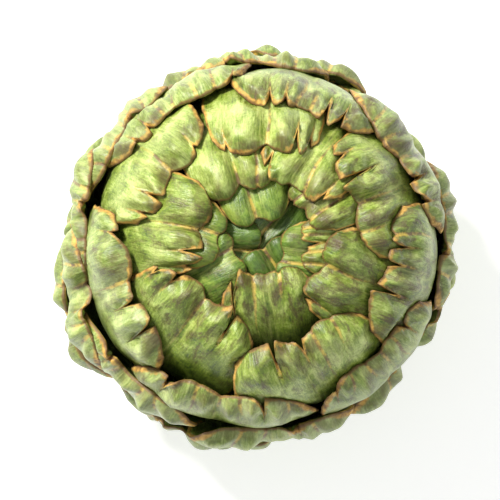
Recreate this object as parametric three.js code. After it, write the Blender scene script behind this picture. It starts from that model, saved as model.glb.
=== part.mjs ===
// A trimmed globe artichoke, standing on its cut stem, crown up.
// Millimetres, +Z up, origin at the middle of the cut stem face.
//
// The head is a pile of bracts (the artichoke's thick leaves) over a heart that
// is one piece with the stem. Every bract is a curved plate that starts at the
// heart, swells outward and closes over the crown, with a notched two-lobed tip.
// They are laid from the inside out: each one rests over those already laid.
import * as THREE from 'three';

// ---- driving dimensions (mm, degrees) ----
const HEAD_CENTRE_HEIGHT = 50;   // middle of the head above the cut face
const GAP = 0.42;                // air between one bract and the next
const COLUMNS = 6;               // facets across a bract
const ROWS = 7;                  // facets along a bract
const DRAPE_PASSES = 60;
const STEM_RADIUS = 16;
const STEM_SIDES = 28;

// Heart and stem outline: [radius, height], from the cut face up.
const HEART_OUTLINE = [
  [STEM_RADIUS, 0], [STEM_RADIUS - 0.5, 8], [STEM_RADIUS, 16], [20.5, 19], [26, 24],
  [29.3, 30], [30, 37], [28, 43], [21, 50], [11, 55],
];
const HEART_TOP = 57;

// Rings of bracts. waist: distance from the head centre at mid height, crown:
// distance over the top, power: how square the shoulder is, foot: distance
// where the bract meets the heart, base: the polar angle of that line, thick:
// flesh thickness, flare: how far the tip stands off, notch: depth of the notch.
const RINGS = {
  bud: {
    waist: 33, crown: 36, power: 2.6, foot: 33, base: 108,
    thick: 1.1, flare: 0, notch: 1.2, colour: 0x4f7434,
  },
  core: {
    waist: 40, crown: 41.5, power: 2.6, foot: 33.2, base: 113,
    thick: 1.3, flare: 0, notch: 2.0, colour: 0x6f8f3f,
  },
  crown: {
    waist: 49, crown: 44.5, power: 2.6, foot: 34.2, base: 119,
    thick: 1.5, flare: 0, notch: 2.6, colour: 0x7e9e45,
  },
  shoulder: {
    waist: 52.5, crown: 47, power: 2.6, foot: 35.6, base: 126,
    thick: 1.7, flare: 0, notch: 3.2, colour: 0x8fae52,
  },
  outer: {
    waist: 55.5, crown: 51, power: 2.15, foot: 37.0, base: 134,
    thick: 1.8, flare: 0.6, notch: 3.6, colour: 0x98b45c,
  },
  rim: {
    waist: 57.6, crown: 54, power: 2.2, foot: 37.8, base: 141,
    thick: 1.8, flare: 0.6, notch: 3.8, colour: 0x93a965,
  },
  skirt: {
    waist: 58.4, crown: 56, power: 2.3, foot: 38.2, base: 147,
    thick: 1.8, flare: 0, notch: 3.4, colour: 0x8fa560,
  },
  base: {
    waist: 57.5, crown: 56, power: 2.3, foot: 38.6, base: 152,
    thick: 1.7, flare: 0, notch: 2.4, colour: 0x8a9a5a,
  },
};

// Bracts from the innermost to the outermost, counted round each ring.
// [ring, azimuth, tip distance from the axis, half width]. Tips of the skirt
// and base rings lie below mid height, so theirs are given as a polar angle.
const BRACTS = [
  ['bud', 55, 1.7, 13.7], ['bud', 178, 2.3, 13.7], ['bud', 300, 2.7, 13.7],
  ['core', 102, 6.1, 13.2], ['core', 206, 6.3, 13.2], ['core', -10, 5.5, 13.7],
  ['core', -80, 6.8, 16.5], ['core', 164, 10.6, 12.6],
  ['crown', 3, 11.5, 11.6], ['crown', 34, 14.8, 12.6], ['crown', 108, 16.4, 16.3],
  ['crown', 169, 16.1, 17.4], ['crown', 58, 18, 16.3], ['crown', -22, 16.6, 17],
  ['crown', 230, 20.5, 24],
  ['shoulder', 89, 27.2, 19.9], ['shoulder', 22, 27.6, 22.5],
  ['shoulder', -66, 28.6, 27], ['shoulder', 145, 32.2, 23.1],
  ['outer', -13, 36.2, 24], ['outer', 199, 39.6, 30], ['outer', 73, 40.6, 26],
  ['outer', 257, 45.6, 31.5, 1], ['outer', 124, 46.6, 29.5], ['outer', 33, 47.2, 26.5, 2.5],
  ['rim', -45, 47.6, 26], ['rim', 144, 54.1, 23.1], ['rim', 90, 56.4, 22, 1],
  ['rim', 225, 55, 26.2, 5], ['rim', 172, 54.8, 23.1], ['rim', 3, 56.4, 24.2, 1],
  ['rim', -84, 57, 26.2, 2], ['rim', 197, 55.6, 23.1],
];
const SKIRT = { count: 9, firstAzimuth: 4, tip: 95, tipSway: 3, half: 24 };
const BASE = { count: 7, firstAzimuth: 32, tip: 113, tipSway: 3, half: 21 };

const degrees = THREE.MathUtils.degToRad;
const smooth = (x, a, b) => THREE.MathUtils.smoothstep(x, a, b);

function lowRing(ring, { count, firstAzimuth, tip, tipSway, half }) {
  return Array.from({ length: count }, (_, k) => ({
    ring, half, lift: 0, azimuth: firstAzimuth + (360 / count) * k + 5 * Math.sin(2.3 * k),
    tipAngle: tip + tipSway * Math.sin(1.9 * k + 0.6),
  }));
}

// ---- the surface a ring lies on, as distance from the head centre ----
function ringDistance(ring, polar) {
  const { waist, crown, power, foot, base } = RINGS[ring];
  if (polar <= 90) {
    const side = Math.abs(Math.sin(degrees(polar))) / waist;
    const top = Math.cos(degrees(polar)) / crown;
    return (side ** power + top ** power) ** (-1 / power);
  }
  const along = Math.min(1, (polar - 90) / (base - 90));
  return waist + (foot - waist) * along ** 1.7;
}

function polarOfTip(ring, tipDistance) {
  let polar = 45;
  for (let k = 0; k < 60; k += 1) {
    const ratio = tipDistance / ringDistance(ring, polar);
    polar = 0.5 * (polar + THREE.MathUtils.radToDeg(Math.asin(Math.min(0.97, ratio))));
  }
  return polar;
}

// ---- how far out the head already reaches, in every direction ----
const REACH = 165;               // polar angle covered, one cell per degree
const SIDE = 2 * REACH + 1;
const reached = new Float32Array(SIDE * SIDE);

function cellOf(point) {
  const polar = THREE.MathUtils.radToDeg(Math.atan2(Math.hypot(point.x, point.y), point.z));
  const turn = Math.atan2(point.y, point.x);
  const u = Math.round(polar * Math.cos(turn)) + REACH;
  const v = Math.round(polar * Math.sin(turn)) + REACH;
  return v * SIDE + u;
}

// Calls visit(cell, distance, weights) for points all over a triangle.
const SAMPLE_SPACING = 0.7;      // degrees
function eachPoint(corners, visit) {
  const widest = Math.max(...corners.map((p, k) => p.angleTo(corners[(k + 1) % 3])));
  const count = Math.ceil(THREE.MathUtils.radToDeg(widest) / SAMPLE_SPACING);
  const point = new THREE.Vector3();
  for (let m = 0; m <= count; m += 1) {
    for (let n = 0; n <= count - m; n += 1) {
      const weights = [m / count, n / count, (count - m - n) / count];
      point.set(0, 0, 0);
      corners.forEach((corner, k) => point.addScaledVector(corner, weights[k]));
      visit(cellOf(point), point.length(), weights);
    }
  }
}

function facetsOf(index, points) {
  return Array.from({ length: index.length / 3 }, (_, k) => (
    [0, 1, 2].map((n) => points[index[3 * k + n]])));
}

function fill(triangles) {
  const round = [0, 1, -1, SIDE, -SIDE, SIDE + 1, SIDE - 1, 1 - SIDE, -1 - SIDE];
  for (const corners of triangles) {
    eachPoint(corners, (cell, distance) => {
      for (const near of round) {
        reached[cell + near] = Math.max(reached[cell + near], distance);
      }
    });
  }
}

// ---- one bract ----
function tipRecess(across, notch) {
  const side = Math.abs(across);
  return notch * Math.exp(-((side / 0.2) ** 2)) + 5.5 * side ** 4 + 0.6 * side;
}

function widthShare(along) {
  return 0.28 + 0.72 * smooth(along, -0.1, 0.55) - 0.2 * smooth(along, 0.8, 1.05);
}

function directionGrid({ ring, azimuth, tipAngle, half, lean }) {
  const { base, notch } = RINGS[ring];
  const out = new THREE.Vector3(Math.cos(degrees(azimuth)), Math.sin(degrees(azimuth)), 0);
  const across = new THREE.Vector3(-out.y, out.x, 0);
  const size = ringDistance(ring, Math.min(90, tipAngle));
  const grid = [];
  for (let j = 0; j <= ROWS; j += 1) {
    for (let i = 0; i <= COLUMNS; i += 1) {
      const along = j / ROWS;
      const t = (2 * i) / COLUMNS - 1;
      const end = tipAngle + THREE.MathUtils.radToDeg(tipRecess(t, notch) / size);
      const polar = base + (end - base) * along;
      const shift = (half * widthShare(along) * t + lean * along * along)
        / Math.max(25, ringDistance(ring, polar));
      const ray = new THREE.Vector3(0, 0, Math.cos(degrees(polar)))
        .addScaledVector(out, Math.sin(degrees(polar))).multiplyScalar(Math.cos(shift))
        .addScaledVector(across, Math.sin(shift)).normalize();
      grid.push({ ray, polar, along, t });
    }
  }
  return grid;
}

function quads(offset, flip) {
  const index = [];
  for (let j = 0; j < ROWS; j += 1) {
    for (let i = 0; i < COLUMNS; i += 1) {
      const a = offset + j * (COLUMNS + 1) + i;
      const [b, c, d] = [a + 1, a + COLUMNS + 2, a + COLUMNS + 1];
      index.push(...(flip ? [a, c, b, a, d, c] : [a, b, c, a, c, d]));
    }
  }
  return index;
}

function edgeLoop() {
  const row = COLUMNS + 1;
  const loop = [];
  for (let i = 0; i < COLUMNS; i += 1) loop.push(i);
  for (let j = 0; j < ROWS; j += 1) loop.push(j * row + COLUMNS);
  for (let i = COLUMNS; i > 0; i -= 1) loop.push(ROWS * row + i);
  for (let j = ROWS; j > 0; j -= 1) loop.push(j * row);
  return loop;
}

// Moves a bract out, as little as it can, until it clears everything inside it.
// In inverse distances each point of each facet gives one linear limit, so the
// nearest surface that keeps every limit is found by Hildreth's projections.
function limitsOn(grid) {
  const index = quads(0, false);
  const limits = [];
  for (let k = 0; k < index.length; k += 3) {
    const ids = [index[k], index[k + 1], index[k + 2]];
    eachPoint(ids.map((id) => grid[id].ray), (cell, length, weights) => {
      if (reached[cell] === 0) return;
      const shares = weights.map((weight) => weight / length);
      const size = shares.reduce((sum, share) => sum + share * share, 0);
      limits.push({ ids, shares, size, most: 1 / (reached[cell] + GAP), held: 0 });
    });
  }
  return limits;
}

function drape(grid, distances) {
  const limits = limitsOn(grid);
  const inverse = distances.map((distance) => 1 / distance);
  const level = ({ ids, shares }) => ids.reduce((sum, id, n) => sum + shares[n] * inverse[id], 0);
  for (let pass = 0; pass < DRAPE_PASSES; pass += 1) {
    for (const limit of limits) {
      const change = Math.min(limit.held, (limit.most - level(limit)) / limit.size);
      if (change === 0) continue;
      limit.held -= change;
      limit.ids.forEach((id, n) => { inverse[id] += change * limit.shares[n]; });
    }
  }
  for (const limit of limits) {
    const excess = level(limit) / limit.most;
    if (excess > 1) limit.ids.forEach((id) => { inverse[id] /= excess; });
  }
  inverse.forEach((value, id) => { distances[id] = 1 / value; });
}

function relax(distances) {
  const row = COLUMNS + 1;
  for (let pass = 0; pass < 4; pass += 1) {
    for (let j = 1; j < ROWS; j += 1) {
      for (let i = 1; i < COLUMNS; i += 1) {
        const id = j * row + i;
        const round = (distances[id - 1] + distances[id + 1] + distances[id - row]
          + distances[id + row]) / 4;
        distances[id] = Math.max(distances[id], round);
      }
    }
  }
}

function bractGeometry(bract) {
  const { thick, flare } = RINGS[bract.ring];
  const grid = directionGrid(bract);
  const inner = grid.map(({ polar, along, t }) => ringDistance(bract.ring, polar)
    + flare * smooth(along, 0.7, 1) * (0.6 + 0.4 * t * t)
    + bract.lift * smooth(along, 0.1, 0.6));
  drape(grid, inner);
  relax(inner);
  const outer = grid.map(({ along, t }, id) => {
    const side = Math.abs(t);
    const puff = 0.9 * Math.exp(-(((side - 0.45) / 0.3) ** 2)) * smooth(along, 0.55, 0.95);
    const thin = 1 - 0.5 * side ** 3 - 0.3 * smooth(along, 0.9, 1)
      - 0.35 * smooth(0.25 - along, 0, 0.2);
    return inner[id] + Math.max(0.7, thick * thin + puff);
  });
  const shell = (distances) => (
    grid.map(({ ray }, id) => ray.clone().multiplyScalar(distances[id])));
  const outside = shell(outer);
  const count = grid.length;
  const index = [...quads(0, false), ...quads(count, true)];
  const loop = edgeLoop();
  loop.forEach((p, k) => {
    const q = loop[(k + 1) % loop.length];
    index.push(q, p, p + count, q, p + count, q + count);
  });
  const faces = quads(0, false);
  fill(facetsOf(faces, outside));
  const geometry = new THREE.BufferGeometry().setFromPoints([...outside, ...shell(inner)]);
  geometry.setIndex(index);
  geometry.computeVertexNormals();
  return geometry;
}

// ---- heart and stem: one solid of revolution with a flat cut face ----
function heartGeometry() {
  const points = [new THREE.Vector3(0, 0, 0)];
  for (const [radius, height] of HEART_OUTLINE) {
    for (let k = 0; k < STEM_SIDES; k += 1) {
      const turn = (2 * Math.PI * k) / STEM_SIDES;
      const ridge = 1 + 0.018 * Math.cos(5 * turn) * (height < 17 ? 1 : 0);
      const around = new THREE.Vector3(Math.cos(turn), Math.sin(turn), 0);
      points.push(around.multiplyScalar(radius * ridge).setZ(height));
    }
  }
  points.push(new THREE.Vector3(0, 0, HEART_TOP));
  const last = points.length - 1;
  const at = (level, k) => 1 + level * STEM_SIDES + (k % STEM_SIDES);
  const index = [];
  for (let k = 0; k < STEM_SIDES; k += 1) {
    index.push(0, at(0, k + 1), at(0, k));
    for (let level = 0; level + 1 < HEART_OUTLINE.length; level += 1) {
      index.push(at(level, k), at(level, k + 1), at(level + 1, k + 1));
      index.push(at(level, k), at(level + 1, k + 1), at(level + 1, k));
    }
    index.push(at(HEART_OUTLINE.length - 1, k), at(HEART_OUTLINE.length - 1, k + 1), last);
  }
  const fromCentre = points.map((p) => p.clone().setZ(p.z - HEAD_CENTRE_HEIGHT));
  fill(facetsOf(index, fromCentre));
  const geometry = new THREE.BufferGeometry().setFromPoints(points);
  geometry.setIndex(index);
  geometry.computeVertexNormals();
  return geometry;
}

// ---- the whole artichoke ----
const artichoke = new THREE.Group();
artichoke.name = 'artichoke';

const heart = new THREE.Mesh(heartGeometry(),
  new THREE.MeshStandardMaterial({ color: 0xb9c07a, roughness: 0.7, metalness: 0 }));
heart.name = 'stem_and_heart';
artichoke.add(heart);

const head = new THREE.Group();
head.name = 'head';
head.position.z = HEAD_CENTRE_HEIGHT;
artichoke.add(head);

const listed = BRACTS.map(([ring, azimuth, tip, half, lift = 0]) => ({
  ring, azimuth, half, lift, tipAngle: polarOfTip(ring, tip),
}));
const counts = {};
for (const bract of [...listed, ...lowRing('skirt', SKIRT), ...lowRing('base', BASE)]) {
  counts[bract.ring] = (counts[bract.ring] ?? 0) + 1;
  bract.lean = 1.6 * Math.sin(2.7 * counts[bract.ring] + bract.azimuth);
  const mesh = new THREE.Mesh(bractGeometry(bract),
    new THREE.MeshStandardMaterial({
      color: RINGS[bract.ring].colour, roughness: 0.55, metalness: 0,
    }));
  mesh.name = `${bract.ring}_bract_${counts[bract.ring]}`;
  head.add(mesh);
}

export default artichoke;
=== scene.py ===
"""The looks of a whole globe artichoke that stands on its cut stem, crown up."""

import math

import bpy
import numpy as np
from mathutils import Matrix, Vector, kdtree


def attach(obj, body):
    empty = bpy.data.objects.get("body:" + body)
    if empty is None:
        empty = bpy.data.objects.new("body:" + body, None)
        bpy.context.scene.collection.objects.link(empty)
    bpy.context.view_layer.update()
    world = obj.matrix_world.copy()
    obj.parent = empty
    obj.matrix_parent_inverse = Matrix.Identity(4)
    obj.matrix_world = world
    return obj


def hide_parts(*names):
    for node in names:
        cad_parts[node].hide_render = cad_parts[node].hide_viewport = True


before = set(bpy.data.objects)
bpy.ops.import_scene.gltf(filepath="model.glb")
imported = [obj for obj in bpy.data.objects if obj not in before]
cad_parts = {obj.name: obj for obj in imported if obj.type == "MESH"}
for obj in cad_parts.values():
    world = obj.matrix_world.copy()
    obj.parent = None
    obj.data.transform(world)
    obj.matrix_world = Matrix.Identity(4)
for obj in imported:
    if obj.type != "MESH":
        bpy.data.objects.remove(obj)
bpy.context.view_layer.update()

# ---- sizes ----
MM = 0.001
HEAD_CENTRE = np.array((0.0, 0.0, 0.050))
CAD_COLUMNS, CAD_ROWS = 6, 7        # facets of a CAD bract, across and along
ACROSS, ALONG = 88, 66              # facets of a finished bract
LOW_ACROSS, LOW_ALONG = 60, 48      # facets of a finished bract low on the head
LOW_RINGS = ("skirt", "base")
TIP_CROWDING = 1.35                 # above 1, rows of facets lie closer together at the tip
BUD_CLOSES = 7.0                    # how far the bud tips bend over the middle, in mm
OVER_GAP, UNDER_GAP = 0.15, 0.45    # room kept over and under a tucked-in bract, in mm

# The rings that the bracts lie on, from the innermost, as in the CAD part:
# waist, crown, power, foot and base give the surface, notch the tip.
RINGS = {
    "bud": dict(waist=33, crown=36, power=2.6, foot=33, base=108, notch=1.2),
    "core": dict(waist=40, crown=41.5, power=2.6, foot=33.2, base=113, notch=2.0),
    "crown": dict(waist=49, crown=44.5, power=2.6, foot=34.2, base=119, notch=2.6),
    "shoulder": dict(waist=52.5, crown=47, power=2.6, foot=35.6, base=126, notch=3.2),
    "outer": dict(waist=55.5, crown=51, power=2.15, foot=37.0, base=134, notch=3.6),
    "rim": dict(waist=57.6, crown=54, power=2.2, foot=37.8, base=141, notch=3.8),
    "skirt": dict(waist=58.4, crown=56, power=2.3, foot=38.2, base=147, notch=3.4),
    "base": dict(waist=57.5, crown=56, power=2.3, foot=38.6, base=152, notch=2.4),
}
# Ring, azimuth in degrees, tip distance from the axis and half width in mm.
BRACTS = [
    ("bud", 55, 1.7, 13.7), ("bud", 178, 2.3, 13.7), ("bud", 300, 2.7, 13.7),
    ("core", 102, 6.1, 13.2), ("core", 206, 6.3, 13.2), ("core", -10, 5.5, 13.7),
    ("core", -80, 6.8, 16.5), ("core", 164, 10.6, 12.6),
    ("crown", 3, 11.5, 11.6), ("crown", 34, 14.8, 12.6), ("crown", 108, 16.4, 16.3),
    ("crown", 169, 16.1, 17.4), ("crown", 58, 18, 16.3), ("crown", -22, 16.6, 17),
    ("crown", 230, 20.5, 24),
    ("shoulder", 89, 27.2, 19.9), ("shoulder", 22, 27.6, 22.5),
    ("shoulder", -66, 28.6, 27), ("shoulder", 145, 32.2, 23.1),
    ("outer", -13, 36.2, 24), ("outer", 199, 39.6, 30), ("outer", 73, 40.6, 26),
    ("outer", 257, 45.6, 31.5), ("outer", 124, 46.6, 29.5), ("outer", 33, 47.2, 26.5),
    ("rim", -45, 47.6, 26), ("rim", 144, 54.1, 23.1), ("rim", 90, 56.4, 22),
    ("rim", 225, 55, 26.2), ("rim", 172, 54.8, 23.1), ("rim", 3, 56.4, 24.2),
    ("rim", -84, 57, 26.2), ("rim", 197, 55.6, 23.1),
]
SKIRT = dict(count=9, first=4, tip=95, sway=3, half=24)
BASE = dict(count=7, first=32, tip=113, sway=3, half=21)


def smooth(x, low, high):
    x = np.clip((np.asarray(x, float) - low) / (high - low), 0, 1)
    return x * x * (3 - 2 * x)


# ---- where each bract's CAD corners lie ----
def ring_distance(ring, polar):
    r = RINGS[ring]
    if polar <= 90:
        side = abs(math.sin(math.radians(polar))) / r["waist"]
        top = math.cos(math.radians(polar)) / r["crown"]
        return (side ** r["power"] + top ** r["power"]) ** (-1 / r["power"])
    along = min(1, (polar - 90) / (r["base"] - 90))
    return r["waist"] + (r["foot"] - r["waist"]) * along ** 1.7


def polar_of_tip(ring, tip_distance):
    polar = 45
    for _ in range(60):
        ratio = tip_distance / ring_distance(ring, polar)
        polar = 0.5 * (polar + math.degrees(math.asin(min(0.97, ratio))))
    return polar


def low_ring(ring, count, first, tip, sway, half):
    return [
        dict(ring=ring, half=half, azimuth=first + (360 / count) * k + 5 * math.sin(2.3 * k),
             tip=tip + sway * math.sin(1.9 * k + 0.6))
        for k in range(count)
    ]


def all_bracts():
    listed = [dict(ring=ring, azimuth=azimuth, half=half, tip=polar_of_tip(ring, tip))
              for ring, azimuth, tip, half in BRACTS]
    counts = {}
    for bract in listed + low_ring("skirt", **SKIRT) + low_ring("base", **BASE):
        ring = bract["ring"]
        counts[ring] = counts.get(ring, 0) + 1
        bract["name"] = f"{ring}_bract_{counts[ring]}"
        bract["lean"] = 1.6 * math.sin(2.7 * counts[ring] + bract["azimuth"])
        yield bract


def width_share(along):
    return 0.28 + 0.72 * smooth(along, -0.1, 0.55) - 0.2 * smooth(along, 0.8, 1.05)


def corner_rays(bract):
    r = RINGS[bract["ring"]]
    turn = math.radians(bract["azimuth"])
    out = np.array((math.cos(turn), math.sin(turn), 0))
    side = np.array((-out[1], out[0], 0))
    size = ring_distance(bract["ring"], min(90, bract["tip"]))
    rays = np.zeros((CAD_ROWS + 1, CAD_COLUMNS + 1, 3))
    for j in range(CAD_ROWS + 1):
        for i in range(CAD_COLUMNS + 1):
            along, t = j / CAD_ROWS, 2 * i / CAD_COLUMNS - 1
            recess = (r["notch"] * math.exp(-((abs(t) / 0.2) ** 2)) + 5.5 * t ** 4
                      + 0.6 * abs(t))
            end = bract["tip"] + math.degrees(recess / size)
            polar = r["base"] + (end - r["base"]) * along
            shift = ((bract["half"] * width_share(along) * t + bract["lean"] * along * along)
                     / max(25, ring_distance(bract["ring"], polar)))
            up = np.array((0, 0, math.cos(math.radians(polar))))
            ray = (up + out * math.sin(math.radians(polar))) * math.cos(shift)
            ray = ray + side * math.sin(shift)
            rays[j, i] = ray / np.linalg.norm(ray)
    return rays


def cad_corners(bract):
    """The CAD node's inner and outer corners as two grids of points, in metres."""
    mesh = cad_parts[bract["name"]].data
    points = np.array([v.co for v in mesh.vertices], float) - HEAD_CENTRE
    distance = np.linalg.norm(points, axis=1)
    along_ray = points / distance[:, None]
    rays = corner_rays(bract)
    inner, outer = np.zeros_like(rays), np.zeros_like(rays)
    for j, i in np.ndindex(rays.shape[:2]):
        match = along_ray @ rays[j, i] > 1 - 1e-6
        if not match.any():
            raise ValueError(f"{bract['name']} has no corner at row {j}, column {i}")
        inner[j, i] = HEAD_CENTRE + rays[j, i] * distance[match].min()
        outer[j, i] = HEAD_CENTRE + rays[j, i] * distance[match].max()
    return inner, outer


# ---- smooth surfaces through those corners ----
def padded(grid):
    grid = np.concatenate([2 * grid[:1] - grid[1:2], grid, 2 * grid[-1:] - grid[-2:-1]], 0)
    return np.concatenate([2 * grid[:, :1] - grid[:, 1:2], grid,
                           2 * grid[:, -1:] - grid[:, -2:-1]], 1)


def spline_weights(x):
    return np.stack([(-x ** 3 + 2 * x ** 2 - x) / 2, (3 * x ** 3 - 5 * x ** 2 + 2) / 2,
                     (-3 * x ** 3 + 4 * x ** 2 + x) / 2, (x ** 3 - x ** 2) / 2], -1)


def on_surface(grid, s, t):
    """Points of the smooth surface at s along (0 to 1) and t across (-1 to 1)."""
    rows, columns = grid.shape[0] - 1, grid.shape[1] - 1
    y, x = s * rows, (t + 1) / 2 * columns
    row = np.clip(np.floor(y).astype(int), 0, rows - 1)
    column = np.clip(np.floor(x).astype(int), 0, columns - 1)
    wy, wx = spline_weights(y - row), spline_weights(x - column)
    cells = padded(grid)
    found = np.zeros(s.shape + (3,))
    for a in range(4):
        for b in range(4):
            found += (wy[..., a] * wx[..., b])[..., None] * cells[row + a, column + b]
    return found


def patchy(x, y, seed):
    """Smooth noise from -1 to 1 with one bump per unit."""
    lattice = np.random.RandomState(1000 + seed).uniform(-1, 1, (64, 64))
    ix, iy = np.floor(x).astype(int), np.floor(y).astype(int)
    fx, fy = x - ix, y - iy
    fx, fy = fx * fx * (3 - 2 * fx), fy * fy * (3 - 2 * fy)
    pick = lambda a, b: lattice[(iy + b) % 64, (ix + a) % 64]
    low = pick(0, 0) * (1 - fx) + pick(1, 0) * fx
    high = pick(0, 1) * (1 - fx) + pick(1, 1) * fx
    return low * (1 - fy) + high * fy


# ---- what is particular to each bract, and its tip edge: creases and torn slits ----
LEANS_IN = {"rim_bract_4": 2.4, "rim_bract_8": 2.0}  # how far these tips lean inwards, in mm
MIDRIB_FROM, SEAM_FROM = 0.52, 0.84  # where along a bract its first and other seams begin
SLIT_HALF_WIDTH = 1.0               # at the tip edge, in mm
TENDER_SHARE = 0.45                 # how deep the soft middle bracts are cut, as a share

# How bruised the best-seen bracts are, from -1 for clean to 2; the others vary.
BRUISING = {
    "core_bract_4": 1.4, "crown_bract_3": -0.5, "crown_bract_4": 0.5, "crown_bract_5": -0.4,
    "crown_bract_6": 1.6, "crown_bract_7": 1.3, "shoulder_bract_1": -0.8,
    "shoulder_bract_2": 1.2, "shoulder_bract_3": 0.6, "shoulder_bract_4": -0.6,
    "outer_bract_1": 2.0, "outer_bract_2": 0.3, "outer_bract_3": 1.5, "outer_bract_4": 0.2,
    "outer_bract_5": -0.1, "outer_bract_6": 2.0, "rim_bract_1": 0.8,
}


def tender(bract):
    """The small soft bracts in the middle; core_bract_4 has opened like the next ring."""
    return bract["ring"] in ("bud", "core") and bract["name"] != "core_bract_4"


# Creases are places across the tip, from -1 at its right end to 1 at its left,
# seen from outside. A slit is (place, depth in mm); a dry flap stands beside it.
TIPS = {
    "core_bract_1": ([0.1], []),
    "core_bract_4": ([-0.3, 0.28], [(-0.68, 12)]),
    "crown_bract_2": ([-0.3, 0.35], []),
    "crown_bract_3": ([-0.42, 0.0], []),
    "crown_bract_4": ([-0.02], [(0.42, 7), (0.76, 4)]),
    "crown_bract_5": ([-0.2], [(0.7, 6), (-0.62, 4)]),
    "crown_bract_6": ([0.06], [(-0.7, 4)]),
    "crown_bract_7": ([-0.05], [(0.42, 10), (-0.58, 5), (-0.86, 4)]),
    "shoulder_bract_1": ([-0.05], [(-0.52, 8), (-0.8, 5), (0.7, 3)]),
    "shoulder_bract_2": ([-0.05, -0.45], [(0.36, 11), (0.72, 5)]),
    "shoulder_bract_3": ([0.2, 0.5], [(-0.35, 10), (0.02, 5)]),
    "shoulder_bract_4": ([-0.1], [(0.38, 6), (0.7, 5), (-0.6, 3)]),
    "outer_bract_1": ([0.55], [(0.36, 7), (0.12, 6), (-0.28, 10)]),
    "outer_bract_2": ([-0.12], [(0.16, 7), (0.5, 8), (-0.7, 5)]),
    "outer_bract_3": ([0.1, -0.1], [(0.48, 6), (0.28, 5), (-0.28, 9), (-0.5, 7)]),
    "outer_bract_4": ([-0.3, 0.0, 0.22, 0.75], [(-0.62, 7), (0.46, 9)]),
    "outer_bract_5": ([-0.55, -0.3, -0.05, 0.15], [(0.34, 6), (0.56, 6), (-0.8, 7)]),
    "outer_bract_6": ([0.6, 0.3, 0.0], [(-0.3, 8), (-0.62, 6)]),
    "rim_bract_1": ([0.3, 0.05, -0.2, -0.5], [(0.55, 7), (-0.75, 5)]),
    "rim_bract_3": ([-0.5, -0.2, 0.1, 0.35], [(0.6, 5)]),
    "rim_bract_7": ([-0.5, -0.15, 0.15, 0.5], [(0.3, 5)]),
}


def tip_edge(bract, chance):
    """The creases and slits of a bract: those listed, or a few of its own."""
    if bract["name"] in TIPS:
        return TIPS[bract["name"]]
    if bract["ring"] in ("bud", "core"):
        return [chance.uniform(-0.2, 0.2)], []
    creases = [place + chance.uniform(-0.1, 0.1) for place in (-0.52, -0.12, 0.3, 0.6)]
    slits = [(place + chance.uniform(-0.06, 0.06), chance.uniform(3, 6))
             for place in chance.choice([-0.8, -0.32, 0.08, 0.8], 1)]
    return creases, slits


def rim_distance(middle, sides):
    """How far each point of a bract lies from its free edge, in mm."""
    rim = np.ones(middle.shape[:2], bool)
    rim[:, 1:-1], rim[-1] = False, True
    tree = kdtree.KDTree(int(rim.sum()))
    for k, point in enumerate(middle[rim]):
        tree.insert(point, k)
    tree.balance()
    found = np.array([tree.find(p)[2] for p in middle.reshape(-1, 3)]) / MM
    return np.where(sides < 0.25, 5.0, found.reshape(middle.shape[:2]))


def outline(bract, chance, u, v, length, number):
    """Where the creases and slits bring the tip edge, and where it is dry."""
    creases, slits = tip_edge(bract, chance)
    half = bract["half"]
    cut = 0.30 * patchy(u * 8, v * 0, number) + 0.18 * patchy(u * 26, v * 0, number + 50)
    fingers = np.full(u.shape, 99.0)
    seams, flaps = np.zeros(u.shape), np.zeros(u.shape)
    torn = smooth(np.abs(u), 0.72, 1.0) * smooth(v, 0.5, 0.85)
    for rank, place in enumerate(creases):
        wander = place + 0.05 * patchy(v * 9, v * 0, number + int(place * 50))
        away = np.abs(u - wander) * half
        fingers = np.minimum(fingers, away)
        starts = MIDRIB_FROM if rank == 0 else SEAM_FROM
        line = np.exp(-((away / (0.45 + 0.45 * smooth(v, 0.8, 1.0))) ** 2))
        seams = np.maximum(seams, line * smooth(v, starts, 0.97))
        cut = cut + chance.uniform(0.7, 1.7) * np.exp(-((away / 1.1) ** 1.2))
    for place, depth in slits:
        beside = 1 if chance.uniform() < 0.5 else -1
        away = (u - place) * half * beside
        cut = cut + depth * np.clip(1 - np.abs(away) / SLIT_HALF_WIDTH, 0, 1)
        flap = np.exp(-((np.clip(away - 1.2, 0, None) / 3.2) ** 2)) * smooth(away, 0.2, 1.2)
        cut = cut - 0.22 * depth * flap * np.exp(-(((away - 2.4) / 1.6) ** 2))
        reach = smooth(v, 1 - depth / length, 1 - 0.3 * depth / length)
        flaps = np.maximum(flaps, flap * reach)
        torn = np.maximum(torn, np.exp(-((away / 3.4) ** 2)) * reach)
        fingers = np.minimum(fingers, np.abs(away) + 0.3)
        line = 0.9 * np.exp(-((away / 0.8) ** 2))
        seams = np.maximum(seams, line * smooth(v, SEAM_FROM, 0.98))
    if bract["ring"] == "bud":
        cut = cut - BUD_CLOSES
    small = TENDER_SHARE if tender(bract) else 1.0
    return dict(cut=cut * small, flaps=flaps * small, fingers=fingers, seams=seams, torn=torn)


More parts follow.
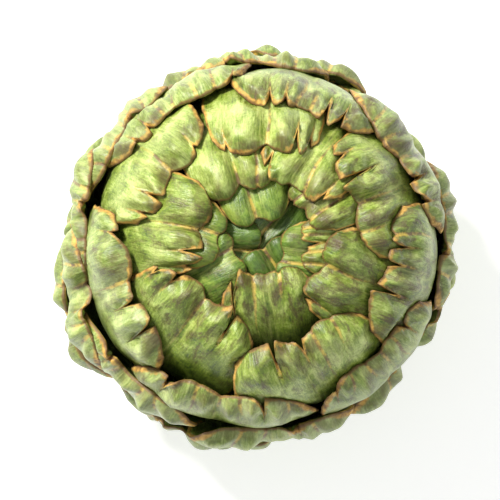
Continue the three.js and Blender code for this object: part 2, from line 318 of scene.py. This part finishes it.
# ---- the room left under the bracts that lie further out ----
class Room:
    """The least distance from the head centre to what is already laid, by direction."""

    CELLS_PER_DEGREE, WIDEST = 1.4, 170
    SLOPE_CELLS, SLOPE_STEP = 5, 0.35   # cells of slope round an edge, and mm down for each

    def __init__(self):
        self.middle = int(self.CELLS_PER_DEGREE * self.WIDEST)
        side = 2 * self.middle + 1
        self.lowest = np.full((side, side), np.inf)

    def cells(self, points):
        away = points - HEAD_CENTRE
        distance = np.linalg.norm(away, axis=-1)
        polar = np.degrees(np.arccos(away[..., 2] / distance)) * self.CELLS_PER_DEGREE
        flat = np.hypot(away[..., 0], away[..., 1]) + 1e-9
        column = np.rint(polar * away[..., 0] / flat).astype(int) + self.middle
        row = np.rint(polar * away[..., 1] / flat).astype(int) + self.middle
        return np.clip(row, 0, 2 * self.middle), np.clip(column, 0, 2 * self.middle), distance

    def press(self, points, clearance):
        """Moves points in, where they would touch a bract that lies over them."""
        row, column, distance = self.cells(points)
        most = self.reach()[row, column] - clearance
        return HEAD_CENTRE + (points - HEAD_CENTRE) * np.minimum(1, most / distance)[..., None]

    def reach(self):
        """The room with a slope round each edge, so that an edge lies on top."""
        field = self.lowest.copy()
        for _ in range(self.SLOPE_CELLS):
            for axis, step in ((0, 1), (0, -1), (1, 1), (1, -1)):
                field = np.minimum(field, np.roll(field, step, axis) + self.SLOPE_STEP * MM)
        return field

    def lay(self, points):
        for _ in range(2):
            points = halved(halved(points, 0), 1)
        row, column, distance = self.cells(points)
        np.minimum.at(self.lowest, (row.ravel(), column.ravel()), distance.ravel())


def halved(points, axis):
    """The same grid of points with one more between each two."""
    points = np.moveaxis(points, axis, 0)
    finer = np.empty((2 * len(points) - 1,) + points.shape[1:])
    finer[::2], finer[1::2] = points, (points[1:] + points[:-1]) / 2
    return np.moveaxis(finer, 0, axis)


# ---- a finished bract ----
# Heights on the outer face, in mm. Those of the first line are for a bract 40 mm wide.
LOBE_HEIGHT, LOW_LOBE_HEIGHT, BODY_HEIGHT, GROOVE_DEPTH = 3.2, 2.4, 1.4, 0.6
FOLD_HEIGHT, DENT_HEIGHT = 0.16, 0.5
FLAP_CURL, EDGE_CURL, TORN_CURL = 1.6, 0.7, 0.6  # how far those edges bend, in mm
TENDER_RELIEF, TENDER_CURL = 0.55, 0.5           # shares of these on the soft middle bracts
THIN_BAND, EDGE_SHARE = 1.3, 0.12   # mm over which the wall thins, and what is left at the edge
MAP_UNIT = 100                      # mm of bract to one unit of its map


def places(bract):
    """u runs from the right edge (-1) to the left (1) and v from the base (0) to the tip (1)."""
    low = bract["ring"] in LOW_RINGS
    across, along = (LOW_ACROSS, LOW_ALONG) if low else (ACROSS, ALONG)
    x, u = np.meshgrid(np.linspace(0, 1, along + 1), np.linspace(-1, 1, across + 1),
                       indexing="ij")
    return u, 1 - (1 - x) ** TIP_CROWDING


def outward(middle):
    normal = np.cross(np.gradient(middle, axis=1), np.gradient(middle, axis=0))
    normal /= np.linalg.norm(normal, axis=-1, keepdims=True) + 1e-12
    return normal * np.sign((normal * (middle - HEAD_CENTRE)).sum(-1, keepdims=True))


def swelling(bract, number, edge, margin, t, v):
    """How far the outer face stands out: lobes, body, midrib groove, folds and dents, in mm."""
    size = bract["half"] / 20
    lobes = 1 - np.exp(-((edge["fingers"] / (2.9 * size)) ** 1.4))
    lobe_height = LOW_LOBE_HEIGHT if bract["ring"] in LOW_RINGS else LOBE_HEIGHT
    near_tip = smooth(v, 0.77, 0.96)
    rounded = 1 - (1 - np.clip(margin / (5.5 * size), 0, 1)) ** 2.6
    body = np.exp(-(((np.abs(t) - 0.42) / 0.3) ** 2)) * np.exp(-(((v - 0.84) / 0.15) ** 2))
    groove = np.exp(-((t / 0.07) ** 2)) * smooth(v, 0.5, 0.95)
    folds = patchy(t * 9 * size, v * 2.2, number + 33) * smooth(v, 0.5, 0.95)
    dents = patchy(t * 2.6 * size, v * 6, number + 7)
    relief = rounded * (lobe_height * size * lobes * near_tip + BODY_HEIGHT * size * body
                        - GROOVE_DEPTH * size * groove + FOLD_HEIGHT * folds
                        + DENT_HEIGHT * dents)
    return relief * (TENDER_RELIEF if tender(bract) else 1)


def curling(bract, number, edge, margin, u, v):
    """How far the whole thickness bends out, in mm: dry flaps out, and untorn edges in."""
    near_edge, torn = 1 - smooth(margin, 0, 3.0), edge["torn"]
    curl = (FLAP_CURL * edge["flaps"] - EDGE_CURL * (1 - torn) * near_edge * smooth(v, 0.6, 0.9)
            + TORN_CURL * torn * near_edge * patchy(u * 7, v * 9, number + 21))
    curl = curl - LEANS_IN.get(bract["name"], 0) * smooth(v, 0.55, 1.0)
    return curl * (TENDER_CURL if tender(bract) else 1)


def walled_grid(name, top, bottom):
    """A sheet given a wall, with its corners brought to the two faces of the bract."""
    along, across = top.shape[0] - 1, top.shape[1] - 1
    bpy.ops.mesh.primitive_grid_add(x_subdivisions=across, y_subdivisions=along, size=2)
    piece = bpy.context.object
    piece.name = name
    wall = piece.modifiers.new("wall", "SOLIDIFY")
    wall.thickness, wall.offset = 0.1, -1
    bpy.ops.object.modifier_apply(modifier="wall")
    corners = np.concatenate([top.reshape(-1, 3), bottom.reshape(-1, 3)])
    if len(piece.data.vertices) != len(corners):
        raise ValueError(f"{name} has {len(piece.data.vertices)} corners, not {len(corners)}")
    piece.data.vertices.foreach_set("co", corners.astype(np.float32).ravel())
    return piece


def store_map(mesh, name, sheet):
    """A map of the sheet, the same on both faces."""
    both = np.concatenate([sheet.reshape(-1, 2)] * 2)
    corner = np.zeros(len(mesh.loops), int)
    mesh.loops.foreach_get("vertex_index", corner)
    while mesh.uv_layers:
        mesh.uv_layers.remove(mesh.uv_layers[0])
    layer = mesh.uv_layers.new(name=name)
    layer.data.foreach_set("uv", both[corner].astype(np.float32).ravel())


def store_value(mesh, name, values):
    attribute = mesh.attributes.new(name, "FLOAT", "POINT")
    both = np.concatenate([values.ravel(), values.ravel()])
    attribute.data.foreach_set("value", both.astype(np.float32))


def bract_object(bract, number, room):
    inner, outer = cad_corners(bract)
    chance = np.random.RandomState(100 + number)
    u, v = places(bract)
    length = np.linalg.norm(np.diff(outer[:, CAD_COLUMNS // 2], axis=0), axis=1).sum() / MM
    edge = outline(bract, chance, u, v, length, number)
    s = v - edge["cut"] / length * smooth(v, 0.72, 1.0) ** 2
    jag = 0.020 * patchy(v * 14, np.sign(u) * 3, number + 90)
    jag = jag + 0.010 * patchy(v * 44, np.sign(u) * 5, number + 130)
    t = u * (1 + jag * np.abs(u) ** 8)
    low, high = on_surface(inner, s, t), on_surface(outer, s, t)
    middle, half = (low + high) / 2, (high - low) / 2
    margin, normal = rim_distance(middle, v), outward(middle)

    relief = swelling(bract, number, edge, margin, t, v)
    curl = curling(bract, number, edge, margin, u, v)
    thin = np.sqrt(1 - (1 - np.clip(margin / THIN_BAND, 0, 1)) ** 2)
    plump = (EDGE_SHARE + (1 - EDGE_SHARE) * thin) * (1 - 0.6 * edge["flaps"])
    centre = middle + normal * (curl * MM)[..., None]
    top = centre + half * plump[..., None] + normal * (relief * MM)[..., None]
    bottom = centre - half * plump[..., None]
    top, bottom = room.press(top, OVER_GAP * MM), room.press(bottom, UNDER_GAP * MM)
    room.lay(bottom)

    piece = walled_grid(bract["name"] + "_flesh", top, bottom)
    mesh = piece.data
    sheet = [t * bract["half"] * width_share(v) / MAP_UNIT + 0.5, s * length / MAP_UNIT]
    store_map(mesh, "bract_map", np.stack(sheet, -1))
    varied = chance.uniform(-1, 1)
    tone = np.full(u.shape, BRUISING.get(bract["name"], varied))
    for name, values in (("margin", margin), ("torn", edge["torn"]), ("along", v),
                         ("crease", edge["seams"]), ("tone", tone)):
        store_value(mesh, name, values)
    mesh.polygons.foreach_set("use_smooth", [True] * len(mesh.polygons))
    ring = bract["ring"]
    opened = ring == "core" and not tender(bract)
    mesh.materials.clear()
    mesh.materials.append(SKINS["crown" if opened else ring])
    mesh.update()
    piece.select_set(False)
    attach(piece, "root")
    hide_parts(bract["name"])


# ---- materials ----
class Graph:
    """A short way to write a material's nodes."""

    def __init__(self, name):
        self.material = bpy.data.materials.new(name)
        self.material.use_nodes = True
        self.nodes = self.material.node_tree.nodes
        self.links = self.material.node_tree.links
        self.shader = self.nodes["Principled BSDF"]

    def plug(self, value, socket):
        if isinstance(value, bpy.types.NodeSocket):
            self.links.new(value, socket)
        else:
            socket.default_value = value

    def add(self, kind, out=0, inputs=(), **settings):
        node = self.nodes.new(kind)
        for key, value in settings.items():
            setattr(node, key, value)
        for key, value in dict(inputs).items():
            self.plug(value, node.inputs[key])
        return node.outputs[out]

    def math(self, operation, a, b=0.0, clamp=False):
        return self.add("ShaderNodeMath", operation=operation, use_clamp=clamp,
                        inputs={0: a, 1: b})

    def product(self, first, *others):
        for other in others:
            first = self.math("MULTIPLY", first, other)
        return first

    def total(self, first, *others):
        for other in others:
            first = self.math("ADD", first, other)
        return first

    def value(self, name):
        return self.add("ShaderNodeAttribute", out="Fac", attribute_name=name)

    def noise(self, vector, scale, detail=3.0, rough=0.5, distortion=0.0):
        return self.add("ShaderNodeTexNoise", out="Fac", inputs={
            "Vector": vector, "Scale": scale, "Detail": detail, "Roughness": rough,
            "Distortion": distortion})

    def stretch(self, vector, scale, shift=(0, 0, 0)):
        return self.add("ShaderNodeMapping", inputs={
            "Vector": vector, "Scale": scale, "Location": shift})

    def window(self, value, low, high, start=0.0, end=1.0):
        return self.add("ShaderNodeMapRange", interpolation_type="SMOOTHSTEP", inputs={
            "Value": value, "From Min": low, "From Max": high, "To Min": start, "To Max": end})

    def blend(self, share, a, b):
        node = self.nodes.new("ShaderNodeMix")
        node.data_type = "RGBA"
        self.plug(share, node.inputs[0])
        for colour, socket in ((a, node.inputs[6]), (b, node.inputs[7])):
            self.plug((*colour, 1) if isinstance(colour, tuple) else colour, socket)
        return node.outputs[2]

    def ramp(self, value, stops):
        node = self.nodes.new("ShaderNodeValToRGB")
        while len(node.color_ramp.elements) < len(stops):
            node.color_ramp.elements.new(0.5)
        for element, (at, colour) in zip(node.color_ramp.elements, stops):
            element.position, element.color = at, (*colour, 1)
        self.links.new(value, node.inputs[0])
        return node.outputs[0]


RIB_STREAK = (0.55, 0.56, 0.18)
# pale waxy bloom, partly painted sheen: it whitens the greens as highlights would
BLOOM_SHEEN_COLOUR = (0.42, 0.48, 0.22)
BRONZE = (0.090, 0.062, 0.020)
BRUISE = (0.070, 0.040, 0.018)
SCUFF = (0.20, 0.13, 0.05)
PIT = (0.16, 0.12, 0.05)
SEAM_OCHRE, SEAM_PURPLE = (0.50, 0.36, 0.07), (0.13, 0.065, 0.030)
DRY_OCHRE = [(0.36, (0.13, 0.06, 0.015)), (0.5, (0.40, 0.22, 0.04)), (0.68, (0.64, 0.40, 0.09))]
BROWN_LIP = (0.13, 0.066, 0.024)


class Skin(Graph):
    """The graph of a bract's skin, with what it reads: its map, its place and its values."""

    def __init__(self, name):
        super().__init__(name)
        self.map = self.add("ShaderNodeUVMap", uv_map="bract_map")
        self.solid = self.add("ShaderNodeTexCoord", out="Object")
        self.margin, self.torn = self.value("margin"), self.value("torn")
        self.along, self.crease = self.value("along"), self.value("crease")
        self.tone = self.value("tone")
        self.fibres = self.mapped((150, 14, 1), 4, 0.6)
        self.threads = self.mapped((430, 40, 1), 2, 0.6)
        self.mottle = self.mapped((170, 120, 1), 3, 0.65)

    def mapped(self, scale, detail, rough, distortion=0.0, shift=(0, 0, 0)):
        """Noise on the map, with its own scale across and along the fibres."""
        place = self.stretch(self.map, scale, shift)
        return self.noise(place, 1, detail, rough, distortion)


def green_flesh(g, deep, mid, light):
    """Green with fibres that run from base to tip, darker towards the base."""
    cloudy = g.mapped((20, 14, 1), 4, 0.55, 0.6)
    tone = g.total(g.math("MULTIPLY", g.fibres, 0.25), g.math("MULTIPLY", cloudy, 0.6),
                   g.math("MULTIPLY", g.mottle, 0.25),
                   g.math("MULTIPLY", g.math("SUBTRACT", g.threads, 0.28), 0.17),
                   g.math("MULTIPLY", g.tone, -0.02),
                   g.math("MULTIPLY", g.window(g.along, 0.9, 0.5), -0.07))
    return g.ramp(tone, [(0.42, deep), (0.55, mid), (0.72, light)])


def rib_streaks_bloom_sheen(g, colour, bloom_and_sheen):
    """Pale streaks on and beside the midrib, and a pale waxy bloom that is partly painted sheen
    of highlights.
    """
    across = g.add("ShaderNodeSeparateXYZ", inputs={0: g.map})
    from_rib = g.math("ABSOLUTE", g.math("SUBTRACT", across, 0.5))
    streaky = g.window(g.mapped((90, 6, 1), 3, 0.6, shift=(3, 1, 0)), 0.44, 0.70)
    rib = g.product(g.window(from_rib, 0.0, 0.045, 1, 0), streaky,
                    g.window(g.along, 0.4, 0.8), 0.50)
    colour = g.blend(rib, colour, RIB_STREAK)
    # painted sheen: pale patches of waxy bloom laid by noise, partly standing in for highlights
    sheen_share = g.math("MULTIPLY", g.window(g.noise(g.solid, 42, 5, 0.6), 0.45, 0.66), bloom_and_sheen)
    return g.blend(sheen_share, colour, BLOOM_SHEEN_COLOUR)


def bruise_share(g, bruise):
    """Soft patches near the tip, made of short scratches; more on bracts of a high tone."""
    spots = g.window(g.mapped((24, 12, 1), 4, 0.6, 0.8, (7, 2, 0)), 0.41, 0.84)
    dashes = g.window(g.mapped((90, 240, 1), 4, 0.7, 1.0), 0.40, 0.62)
    streaks = g.window(g.mapped((230, 34, 1), 3, 0.6, 0.6), 0.36, 0.64)
    scratches = g.total(0.30, g.math("MULTIPLY", dashes, 0.40),
                        g.math("MULTIPLY", streaks, 0.40))
    return g.product(spots, bruise, scratches, g.window(g.along, 0.60, 0.92, 0.25, 1.25),
                     g.window(g.tone, -1.0, 2.0, 0.4, 1.5))


def marks(g, colour, bruised, bruise):
    """Bronzed tips, purple-brown bruises, long scuffs and small pits."""
    bronzed = g.product(g.window(g.along, 0.86, 1.0),
                        g.window(g.noise(g.solid, 110, 4, 0.6), 0.42, 0.66), bruise, 0.85)
    colour = g.blend(bronzed, colour, BRONZE)
    colour = g.blend(g.math("MINIMUM", g.math("MULTIPLY", bruised, 1.45), 0.74), colour, BRUISE)
    scuffed = g.product(g.window(g.mapped((22, 620, 1), 4, 0.6, shift=(1, 5, 0)), 0.57, 0.66),
                        g.window(g.noise(g.solid, 70, 3), 0.46, 0.58), 0.7)
    colour = g.blend(scuffed, colour, SCUFF)
    pits = g.window(g.noise(g.solid, 1300, 3, 0.7), 0.60, 0.72)
    return g.blend(g.math("MULTIPLY", pits, 0.45), colour, PIT)


def seam_lines(g, colour):
    """Creases between the lobes: ochre, with purple-brown in patches."""
    patch = g.window(g.noise(g.solid, 260, 3, 0.6), 0.42, 0.6)
    seam = g.blend(patch, SEAM_OCHRE, SEAM_PURPLE)
    frayed = g.total(g.crease, g.math("MULTIPLY", g.math("SUBTRACT", g.mottle, 0.5), 0.9))
    return g.blend(g.math("MULTIPLY", g.window(frayed, 0.28, 0.95), 0.85), colour, seam)


def dry_edge(g, colour, dry):
    """A thin ochre margin, wide in stretches and where it is torn, with a brown lip."""
    wander = g.math("MULTIPLY", g.math("SUBTRACT", g.noise(g.solid, 380, 4, 0.65), 0.5), 1.9)
    stretch = g.window(g.noise(g.solid, 75, 3, 0.6), 0.50, 0.66)
    reach = g.total(0.24, g.math("MULTIPLY", g.torn, 0.95), g.math("MULTIPLY", stretch, 0.36))
    band = g.math("DIVIDE", g.math("ADD", g.margin, wander), reach)
    strength = g.total(0.35, g.math("MULTIPLY", g.math("MAXIMUM", g.torn, stretch), 0.65))
    share = g.math("MULTIPLY", g.window(band, 0.5, 1.3, 1, 0), strength)
    ochre = g.ramp(g.noise(g.solid, 300, 4, 0.6), DRY_OCHRE)
    colour = g.blend(g.math("MULTIPLY", share, dry, clamp=True), colour, ochre)
    frayed = g.math("ADD", g.margin, g.math("MULTIPLY", wander, 0.25))
    lip = g.math("MULTIPLY", g.window(frayed, 0.04, 0.36, 1, 0), 0.85)
    return g.blend(lip, colour, BROWN_LIP), share


def bract_skin(name, deep, mid, light, bloom_and_sheen, bruise, dry):
    g = Skin(name)
    colour = rib_streaks_bloom_sheen(g, green_flesh(g, deep, mid, light), bloom_and_sheen)
    bruised = bruise_share(g, bruise)
    colour = seam_lines(g, marks(g, colour, bruised, bruise))
    colour, dried = dry_edge(g, colour, dry)
    g.plug(colour, g.shader.inputs["Base Color"])
    rough = g.total(0.30, g.math("MULTIPLY", g.fibres, 0.2), g.math("MULTIPLY", dried, 0.25))
    g.plug(rough, g.shader.inputs["Roughness"])
    g.shader.inputs["Specular IOR Level"].default_value = 0.5
    g.shader.inputs["Subsurface Weight"].default_value = 0.10
    g.shader.inputs["Subsurface Radius"].default_value = (0.002, 0.003, 0.0006)
    g.shader.inputs["Subsurface Scale"].default_value = 1.0
    grain = g.noise(g.solid, 700, 3)
    height = g.total(g.math("MULTIPLY", g.fibres, 0.75), g.math("MULTIPLY", g.threads, 0.3),
                     g.math("MULTIPLY", grain, 0.3), g.math("MULTIPLY", bruised, -0.35))
    bump = g.add("ShaderNodeBump", inputs={"Height": height, "Strength": 0.7,
                                           "Distance": 0.0006})
    g.plug(bump, g.shader.inputs["Normal"])
    return g.material


# Name, deep, mid and light green, waxy bloom with painted sheen, bruising, dryness of the edge.
SKINS = {
    "bud": bract_skin("bud_skin", (0.010, 0.028, 0.004), (0.045, 0.095, 0.010),
                      (0.12, 0.21, 0.030), 0.0, 0.3, 0.6),
    "core": bract_skin("core_skin", (0.020, 0.052, 0.006), (0.090, 0.165, 0.016),
                       (0.26, 0.36, 0.055), 0.0, 0.6, 0.9),
    "crown": bract_skin("crown_skin", (0.038, 0.075, 0.008), (0.172, 0.248, 0.026),
                        (0.46, 0.56, 0.150), 0.10, 1.0, 1.0),
    "shoulder": bract_skin("shoulder_skin", (0.040, 0.077, 0.009), (0.182, 0.258, 0.029),
                           (0.49, 0.58, 0.175), 0.2, 1.0, 1.0),
    "outer": bract_skin("outer_skin", (0.038, 0.071, 0.011), (0.172, 0.243, 0.035),
                        (0.46, 0.545, 0.185), 0.35, 1.0, 1.0),
    "rim": bract_skin("rim_skin", (0.038, 0.068, 0.012), (0.158, 0.223, 0.038),
                      (0.40, 0.48, 0.150), 0.35, 0.65, 1.0),
}
SKINS["skirt"] = SKINS["rim"]
SKINS["base"] = SKINS["rim"]


def stem_flesh():
    """Stringy bark, and a pale cut face with a ring of vessels, set by distance from the axis."""
    g = Graph("stem_flesh")
    solid = g.add("ShaderNodeTexCoord", out="Object")
    strings = g.noise(g.stretch(solid, (260, 260, 18)), 1, 4, 0.6)
    blotch = g.noise(solid, 90, 4)
    tone = g.math("ADD", g.math("MULTIPLY", strings, 0.6), g.math("MULTIPLY", blotch, 0.5))
    bark = g.ramp(tone, [(0.35, (0.13, 0.17, 0.05)), (0.55, (0.30, 0.35, 0.12)),
                         (0.75, (0.47, 0.50, 0.24))])
    parts = g.nodes.new("ShaderNodeSeparateXYZ")
    g.links.new(solid, parts.inputs[0])
    across = g.add("ShaderNodeVectorMath", out="Value", operation="LENGTH", inputs={
        0: g.add("ShaderNodeCombineXYZ", inputs={0: parts.outputs[0], 1: parts.outputs[1]})})
    cells = g.add("ShaderNodeTexVoronoi", out="Distance", feature="F1", inputs={
        "Vector": g.stretch(solid, (1, 1, 0.05)), "Scale": 520.0})
    ring = g.math("MULTIPLY", g.window(across, 0.0075, 0.010),
                  g.window(across, 0.0125, 0.0145, 1, 0))
    dots = g.math("MULTIPLY", g.window(cells, 0.12, 0.3, 1, 0), ring)
    pith = g.ramp(g.math("ADD", g.noise(solid, 600, 3), g.math("MULTIPLY", across, 14)),
                  [(0.4, (0.62, 0.62, 0.38)), (0.62, (0.50, 0.50, 0.24)),
                   (0.8, (0.30, 0.24, 0.10))])
    pith = g.blend(g.math("MULTIPLY", dots, 0.75), pith, (0.22, 0.14, 0.05))
    face = g.window(parts.outputs[2], 0.0002, 0.0008, 1, 0)
    colour = g.blend(face, bark, pith)
    g.plug(colour, g.shader.inputs["Base Color"])
    g.plug(g.math("ADD", 0.5, g.math("MULTIPLY", strings, 0.25)), g.shader.inputs["Roughness"])
    bump = g.add("ShaderNodeBump", inputs={"Height": strings, "Strength": 0.5,
                                           "Distance": 0.0008})
    g.plug(bump, g.shader.inputs["Normal"])
    return g.material


# ---- the stem and heart ----
STEM_SIDES = 56
CUT_BEVEL = 0.0006                  # rounding of the cut edge, in metres
CUT_INSETS = (0.001, 0.0042, 0.0042, 0.0042)  # rings of facets on the cut face, in metres


def stem_outline():
    """Radius and height, in metres, of each level of the CAD stem and heart."""
    points = np.array([v.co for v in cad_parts["stem_and_heart"].data.vertices], float)
    radius = np.hypot(points[:, 0], points[:, 1])
    levels = sorted({round(z, 5) for z in points[:, 2]})
    outline = [(radius[np.abs(points[:, 2] - z) < 2e-5].max(), z) for z in levels]
    return [(r, z) for r, z in outline if r > 1e-4]


def stem_object():
    outline = stem_outline()
    bpy.ops.mesh.primitive_circle_add(vertices=STEM_SIDES, radius=outline[0][0],
                                      fill_type="NGON")
    piece = bpy.context.object
    piece.name = "stem_and_heart_flesh"
    bpy.ops.object.mode_set(mode="EDIT")
    bpy.ops.mesh.select_all(action="SELECT")
    for (radius, height), (wider, higher) in zip(outline, outline[1:]):
        bpy.ops.mesh.extrude_region_move(
            TRANSFORM_OT_translate={"value": (0, 0, higher - height)})
        share = wider / radius
        bpy.ops.transform.resize(value=(share, share, 1), center_override=(0, 0, higher))
    bpy.ops.object.mode_set(mode="OBJECT")
    mesh = piece.data
    for polygon in mesh.polygons:
        polygon.select = all(abs(mesh.vertices[k].co.z) < 1e-6 for k in polygon.vertices)
    for edge in mesh.edges:
        edge.select = all(abs(mesh.vertices[k].co.z) < 1e-6 for k in edge.vertices)
    bpy.ops.object.mode_set(mode="EDIT")
    bpy.ops.mesh.bevel(offset=CUT_BEVEL, segments=2)
    for width in CUT_INSETS:
        bpy.ops.mesh.inset(thickness=width)
    bpy.ops.mesh.select_all(action="SELECT")
    bpy.ops.mesh.normals_make_consistent(inside=False)
    bpy.ops.object.mode_set(mode="OBJECT")
    rounded = piece.modifiers.new("rounded", "SUBSURF")
    rounded.levels = rounded.render_levels = 2
    bpy.ops.object.modifier_apply(modifier="rounded")
    at = np.array([v.co for v in mesh.vertices], float)
    turn, height = np.arctan2(at[:, 1], at[:, 0]), at[:, 2] / MM
    ribs = (0.010 * np.cos(5 * turn) * (1 - smooth(height, 14, 20))
            + 0.006 * np.sin(19 * turn + 0.15 * height)
            + 0.008 * patchy(turn * 5 + 40, height / 4 + 20, 5)) * smooth(height, 0.1, 2) - 0.012
    at[:, :2] *= (1 + ribs)[:, None]
    mesh.vertices.foreach_set("co", at.astype(np.float32).ravel())
    mesh.polygons.foreach_set("use_smooth", [True] * len(mesh.polygons))
    mesh.update()
    mesh.materials.append(stem_flesh())
    piece.select_set(False)
    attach(piece, "root")
    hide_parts("stem_and_heart")


# ---- build ----
bpy.ops.object.select_all(action="DESELECT")
stem_object()
room = Room()
for number, bract in reversed(list(enumerate(all_bracts()))):
    bract_object(bract, number, room)

# ---- floor, light and camera ----
bpy.ops.mesh.primitive_plane_add(size=6, location=(0, 0, 0))
floor = bpy.context.object
floor.name = "floor"
g = Graph("floor_paper")
g.shader.inputs["Base Color"].default_value = (0.93, 0.93, 0.92, 1)
g.shader.inputs["Roughness"].default_value = 0.9
g.shader.inputs["Emission Color"].default_value = (1, 1, 1, 1)
g.shader.inputs["Emission Strength"].default_value = 0.37
floor.data.materials.append(g.material)


def area_light(name, place, aim, size, power, colour):
    data = bpy.data.lights.new(name, "AREA")
    data.shape, data.size, data.energy, data.color = "DISK", size, power, colour
    light = bpy.data.objects.new(name, data)
    bpy.context.scene.collection.objects.link(light)
    light.location = place
    light.rotation_euler = (Vector(aim) - Vector(place)).to_track_quat("-Z", "Y").to_euler()


area_light("key_light", (-0.65, 0.75, 0.95), (0, 0, 0.05), 0.30, 35, (1, 0.98, 0.93))
area_light("fill_light", (0.6, -0.4, 1.1), (0, 0, 0.05), 1.2, 4, (0.95, 0.98, 1))
world = bpy.data.worlds.new("studio")
world.use_nodes = True
world.node_tree.nodes["Background"].inputs["Color"].default_value = (1, 1, 1, 1)
world.node_tree.nodes["Background"].inputs["Strength"].default_value = 0.50
bpy.context.scene.world = world
bpy.context.scene.view_settings.view_transform = "Standard"

CAMERA_HEIGHT = 1.0
VIEW_WIDTH = 0.1632                 # what the view takes in across, at the head's centre
camera_data = bpy.data.cameras.new("camera")
camera_data.sensor_width = 36
camera_data.lens = camera_data.sensor_width * (CAMERA_HEIGHT - HEAD_CENTRE[2]) / VIEW_WIDTH
camera = bpy.data.objects.new("camera", camera_data)
bpy.context.scene.collection.objects.link(camera)
camera.location = (-0.0032, -0.0014, CAMERA_HEIGHT)
bpy.context.scene.camera = camera
